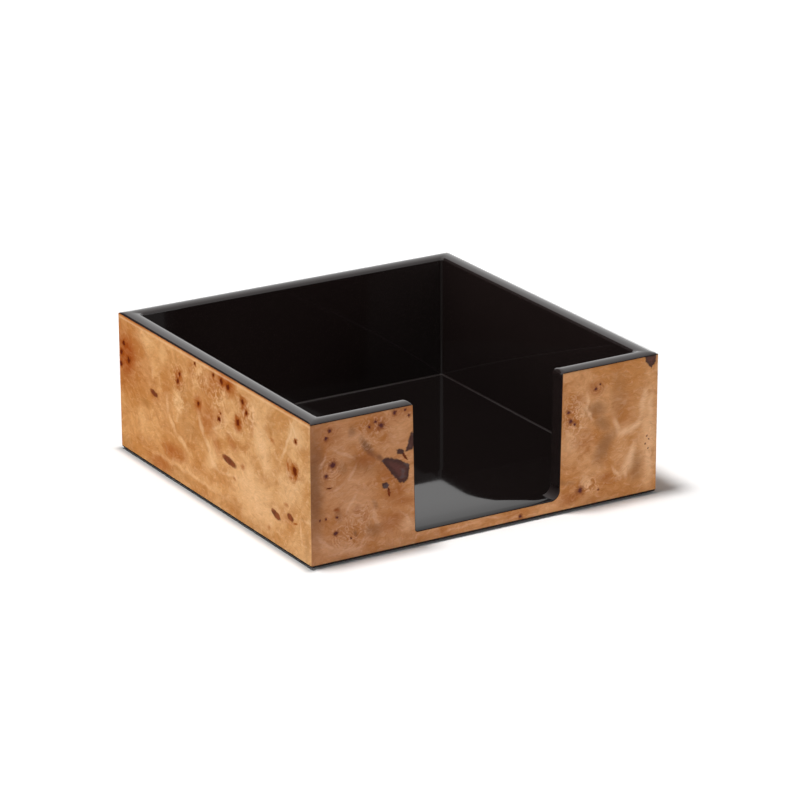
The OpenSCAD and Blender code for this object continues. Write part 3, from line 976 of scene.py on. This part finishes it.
def groundColour(paint, at, figure, patchy, silk):
    broad, rings = growthLines(paint, at, figure)
    cloud = paint.noise(at["rolling"], 0.05, 2)
    stretched = paint.vector("MULTIPLY", at["rolling"], (0.7, 1.3, 1))
    figured = paint.noise(stretched, 0.11, 3, 0.6, 0.6)
    base = paint.mix(cloud.ease(0.38, 0.62), burl["light"], burl["honey"])
    base = paint.mix(figured.ease(0.48, 0.7) * 0.45, base, burl["amber"])
    base = paint.mix(broad.ease(-0.2, 1) * 0.16, base, burl["amber"])
    base = paint.mix(washed(paint, at["gentle"], figure["pales"]), base, burl["pale"])
    base = paint.mix(silk.ease(0.5, 0.72) * 0.3, base, burl["cream"])
    base = paint.mix(silk.ease(0.46, 0.3) * 0.22, base, burl["line"])
    rings = rings * patchy.ease(0.4, 0.6)
    base = paint.mix(rings.ease(0, 1) * 0.3, base, burl["line"])
    return paint.mix(rings.ease(0, -1) * 0.16, base, burl["cream"])


def withWashes(paint, at, figure, silk, base):
    base = paint.mix(washed(paint, at["gentle"], figure["stains"]), base, figure["stain"])
    halo = washed(paint, at["gentle"], figure["halos"])
    base = paint.mix(halo * silk.ease(0.62, 0.4, 0.8, 1), base, figure["halo"])
    cream = washed(paint, at["gentle"], figure["creams"])
    base = paint.mix(cream * silk.ease(0.3, 0.55, 0.5, 0.85), base, burl["cream"])
    curl = paint.noise(at["wavy"], 0.2, 2, 0.5, 1.2)
    curled = washed(paint, at["wavy"], figure["curls"])
    base = paint.mix((curl - 0.5).size().ease(0, 0.06, 1, 0) * curled * 0.6, base, burl["cream"])
    return paint.mix(curl.ease(0.55, 0.66) * curled * 0.7, base, burl["amber"])


def withKnots(paint, at, figure, silk, base):
    knot = nearestKnot(paint, at["fuzzy"], figure["knots"]) * silk.ease(0.35, 0.65, 0.8, 1.3)
    base = paint.mix(knot.ease(1, 2.6, 0.85, 0), base, figure["knotRing"])
    return paint.mix(knot.ease(0.6, 1.3, 1, 0), base, figure["knotCore"])


def withBark(paint, at, figure, patchy, base):
    bark = reduce(Wire.atMost, (beyondBark(paint, at["fuzzy"], corners)
                                for corners in figure["barks"]))
    tone = paint.mix(bark.ease(-3, -0.6), burl["barkHeart"], burl["barkEdge"])
    tone = paint.mix(patchy.ease(0.5, 0.62) * 0.8, tone, burl["barkAsh"])
    return paint.mix(bark.ease(-0.4, 0.4, 0.95, 0), base, tone)


# how far a place on the front sheet is from the opening, in mm
def openingGap(along, up):
    x = along - halfX / mm
    half = up * math.tan(notchTilt) + notch["width"] / 2 / mm
    sill = (floorTop - notch["lip"] - veneerBottom) / mm

    def cornerGap(beside, radius):
        across = (radius - beside).atLeast(0)
        below = (sill + radius - up).atLeast(0)
        return (across * across + below * below) ** 0.5 - radius

    return cornerGap(half + x, notch["leftR"] / mm).atLeast(cornerGap(half - x, notch["rightR"] / mm))


# black lacquer laps onto the front sheet; on the others a highlight is painted as a paler line just below
# the top edge, and the very edge turns a darker orange
def withEdges(paint, at, figure, side, base):
    topGap = (veneerTop - veneerBottom) / mm - at["up"]
    gap = topGap.atMost(at["along"]).atMost(2 * halfX / mm - at["along"])
    rounded = (burl["edgeRound"] - gap).atLeast(0) ** 2 / burl["edgeRound"] * -0.25
    if side == "front":
        topGap = topGap.atMost(openingGap(at["along"], at["up"]))
        lapped = topGap.ease(burl["lap"], burl["lap"] + 0.15, 0.97, 0)
        lapped = lapped.atLeast(at["up"].ease(0.2, 0.5, 0.95, 0))
        return paint.mix(lapped, base, burl["lacquer"]), rounded
    # painted highlight: a paler line along the top edge, where the rounded-over edge would catch the light
    base = paint.mix((topGap - 1.4).size().ease(0.2, 0.7, 0.4, 0), base, burl["cream"])
    return paint.mix(topGap.ease(0.3, 0.7, 0.6, 0), base, figure["halo"]), rounded


def burlPaint(name, side, figure):
    paint = newPaint(name)
    at = burlPlaces(paint, side, figure["seed"])
    patchy = paint.noise(at["seeded"], 0.16, 2)
    silk = paint.noise(paint.vector("MULTIPLY", at["wavy"], (0.75, 1.25, 1)), 0.3, 3, 0.6, 0.8)
    base = groundColour(paint, at, figure, patchy, silk)
    base = withWashes(paint, at, figure, silk, base)
    base = withKnots(paint, at, figure, silk, base)
    slash = nearest(paint, at["fuzzy"], figure["slashes"]).ease(0.2, 0.48, 0, 0.95)
    base = paint.mix(slash, base, paint.mix(silk.ease(0.4, 0.6), burl["cut"], burl["cutDark"]))
    if figure["barks"]:
        base = withBark(paint, at, figure, patchy, base)

    # fibres that run slantwise, and the ends' tints
    slant = paint.add("Mapping", None, {"Vector": at["rolling"], "Scale": (0.25, 1.6, 1),
                                        "Rotation": (0, 0, math.radians(-figure["slant"]))})
    fibre = paint.noise(slant, 1.1, 3, 0.7)
    shade = paint.mix(fibre.ease(0.25, 0.75), (0.9, 0.88, 0.85, 1), (1.1, 1.1, 1.1, 1))
    base = paint.mix(1, base, shade, "MULTIPLY")
    tint = paint.mix(at["along"] / (2 * halfX / mm), *figure["tints"])
    base = paint.mix(1, base, tint, "MULTIPLY")

    base, rounded = withEdges(paint, at, figure, side, base)
    return paint.finish({
        "Base Color": base,
        "Roughness": fibre.ease(0.2, 0.8, 0.3, 0.42),
        "IOR": 1.5,
        "Specular IOR Level": 0.02,
        "Normal": paint.bump(fibre * 0.012 - slash * 0.02 + rounded, 1 * mm),
    })


# studio
studio = {
    "lens": 173.628,
    "sensor": 36,
    "pitch": 19.566,
    "yaw": 30.949,
    "roll": -0.2168,
    "distance": 1871.16 * mm,
    "aim": (0, 0, 39.7 * mm),
    "aside": 7.83 * mm,
    "down": 3.25 * mm,
    "sky": 0.17,
    "floorTone": (0.9, 0.9, 0.9, 1),
    "floorReach": 6,
    "glow": 0.1,  # how much whiter the floor looks than it is lit, growing from the object's foot
    "glowReach": 30 * mm,  # to this far out
    "whiteFrom": 0.14,  # farther out it grows quite white: from here to the next, from the middle
    "whiteFull": 0.6,
    "shade": 0.55,  # how dark a shadow painted into the floor's tone is right at the left wall's foot
    "paintedShadowReach": 5.5 * mm,
    "paintedShadowUnder": 2 * mm,  # how far it goes on under the wall
    "paintedShadowPast": 4 * mm,  # and past the wall's ends
    "lamps": [("topLamp", (-0.28, 0.01, 1.6), 0.3, 0.34, 24),
              ("sideLamp", (-1.6, 0.1, 0.3), 0.6, 0.6, 5.5),
              ("frontLamp", (0.3, -1.6, 0.3), 0.6, 0.6, 5)],
    "flag": {"left": -62, "right": 4, "low": 4, "high": 46, "distance": 1.2, "reach": 0.42,
             "tone": 0.08},
}


def makeCamera():
    pitch, yaw, roll = (math.radians(studio[k]) for k in ("pitch", "yaw", "roll"))
    ahead = Vector((math.sin(yaw) * math.cos(pitch), math.cos(yaw) * math.cos(pitch),
                    -math.sin(pitch)))
    level = Vector((math.cos(yaw), -math.sin(yaw), 0))
    upward = level.cross(ahead)
    right = level * math.cos(roll) + upward * math.sin(roll)
    up = upward * math.cos(roll) - level * math.sin(roll)
    data = bpy.data.cameras.new("camera")
    data.sensor_width = studio["sensor"]
    data.lens = studio["lens"]
    data.clip_start, data.clip_end = 0.01, 100
    camera = bpy.data.objects.new("camera", data)
    bpy.context.scene.collection.objects.link(camera)
    turn = Matrix((right, up, -ahead)).transposed().to_4x4()
    turn.translation = (Vector(studio["aim"]) - ahead * studio["distance"]
                        + right * studio["aside"] - up * studio["down"])
    camera.matrix_world = turn
    bpy.context.scene.camera = camera


def makeLamp(name, place, aim, across, tall, power):
    data = bpy.data.lights.new(name, "AREA")
    data.shape = "ELLIPSE"
    data.size = across
    data.size_y = tall
    data.energy = power
    lamp = bpy.data.objects.new(name, data)
    bpy.context.scene.collection.objects.link(lamp)
    lamp.location = place
    lamp.rotation_euler = (Vector(aim) - Vector(place)).to_track_quat("-Z", "Y").to_euler()
    lamp.visible_glossy = False
    return lamp


# 1 for what the camera sees, by itself or in a mirror, and 0 for light that falls on something
def seenDirectly(paint):
    path = paint.add("LightPath")
    outputs = path.socket.node.outputs
    camera, glossy, through = (Wire(paint, outputs[k]) for k in
                               ("Is Camera Ray", "Is Glossy Ray", "Is Transmission Ray"))
    return camera.atLeast(glossy).atLeast(through)


def makeSky():
    sky = Paint(bpy.data.worlds.new("studio"))
    strength = seenDirectly(sky).ease(0, 1, studio["sky"], 1)
    light = sky.add("Background", None, {"Color": (1, 1, 1, 1), "Strength": strength})
    sky.add("OutputWorld", None, {"Surface": light})
    bpy.context.scene.world = sky.owner


# pale and matt, with a glow that whitens it for the eye alone, and a shadow painted into its tone along
# the left wall's foot
def floorPaint():
    paint = newPaint("paleFloor")
    away = paint.vector("LENGTH", paint.place(), output="Value")
    spots = paint.add("SeparateXYZ", None, {0: paint.place()})
    x, y = (Wire(paint, spots.socket.node.outputs[k]) for k in ("X", "Y"))
    beside = (x.size() - halfX).atLeast(y.size() - halfY)
    near = beside.ease(0, studio["glowReach"], 0, studio["glow"])
    glow = near.atLeast(away.ease(studio["whiteFrom"], studio["whiteFull"])) * seenDirectly(paint)
    # painted shadow: the floor's tone darkens toward black along the left wall's foot
    left = -halfX - x
    shade = left.ease(0, studio["paintedShadowReach"], studio["shade"], 0)
    shade = shade * left.ease(-studio["paintedShadowUnder"], 0)
    shade = shade * (y.size() - halfY).ease(-1 * mm, studio["paintedShadowPast"], 1, 0)
    tone = paint.mix(shade, studio["floorTone"], (0, 0, 0, 1))
    matt = paint.add("BsdfDiffuse", None, {"Color": tone})
    glow = paint.add("Emission", None, {"Color": (1, 1, 1, 1), "Strength": glow})
    both = paint.add("AddShader", None, {0: matt, 1: glow})
    paint.add("OutputMaterial", None, {"Surface": both})
    return paint.owner


def makeStudio():
    makeSky()
    bm = bmesh.new()
    bmesh.ops.create_grid(bm, x_segments=1, y_segments=1, size=studio["floorReach"])
    dress(newPiece("studioFloor", bm), floorPaint())
    for name, place, *build in studio["lamps"]:
        makeLamp(name, place, studio["aim"], *build)
    makeFlags()


# black cards that only reflections see: one stands behind to the left, one lies round the object
def makeFlags():
    flag = studio["flag"]
    bm = bmesh.new()
    spots = [(math.radians(turn), math.radians(rise)) for turn, rise in
             ((flag["left"], flag["low"]), (flag["right"], flag["low"]),
              (flag["right"], flag["high"]), (flag["left"], flag["high"]))]
    bm.faces.new([bm.verts.new(Vector((math.sin(turn), math.cos(turn), math.tan(rise)))
                               * flag["distance"]) for turn, rise in spots])
    standing = newPiece("standingFlag", bm)
    bm = bmesh.new()
    bmesh.ops.create_circle(bm, cap_ends=True, segments=48, radius=flag["reach"])
    bmesh.ops.translate(bm, verts=bm.verts, vec=(0, 0, 0.1 * mm))
    lying = newPiece("lyingFlag", bm)
    paint = newPaint("flagCloth")
    cloth = paint.add("BsdfDiffuse", None, {"Color": (*[flag["tone"]] * 3, 1)})
    paint.add("OutputMaterial", None, {"Surface": cloth})
    for card in (standing, lying):
        dress(card, paint.owner)
        card.visible_camera = False
        card.visible_diffuse = False
        card.visible_shadow = False


makeCamera()
makeStudio()
print("studio made")

blackLacquer = lacquerPaint()
ring = makeRing()
boards = [("frontBoard", "end", 0, "front_board"), ("backBoard", "end", 180, "back_board"),
          ("rightBoard", "side", 0, "right_board"), ("leftBoard", "side", 180, "left_board")]
for name, kind, turn, node in boards:
    dress(partBoard(name, ring, kind, turn), blackLacquer, "lacquered_board", node)
bpy.data.objects.remove(ring)
dress(makeFloor(), blackLacquer, "lacquered_board", "floor_board")
print("lacquered boards made")

bradWire = bradPaint()
for node in ("corner_brads", "floor_brads"):
    dress(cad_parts[node], bradWire, "brad_steel")
feltPad = dress(makeFelt(), feltPaint(), "felt", "felt_pad")
print("felt and brads made")

dress(makeFrontSheet(), burlPaint("frontBurl", "front", frontFigure), "burl_veneer", "front_veneer")
dress(makeSideSheet("leftVeneer", "left_veneer"), burlPaint("leftBurl", "left", leftFigure),
      "burl_veneer", "left_veneer")
dress(makeSideSheet("rightVeneer", "right_veneer"), burlPaint("rightBurl", "right", rightFigure),
      "burl_veneer", "right_veneer")
dress(makeBackSheet(), burlPaint("backBurl", "back", backFigure), "burl_veneer", "back_veneer")
print("veneers made")

settings = bpy.context.scene.view_settings
settings.view_transform = "Standard"
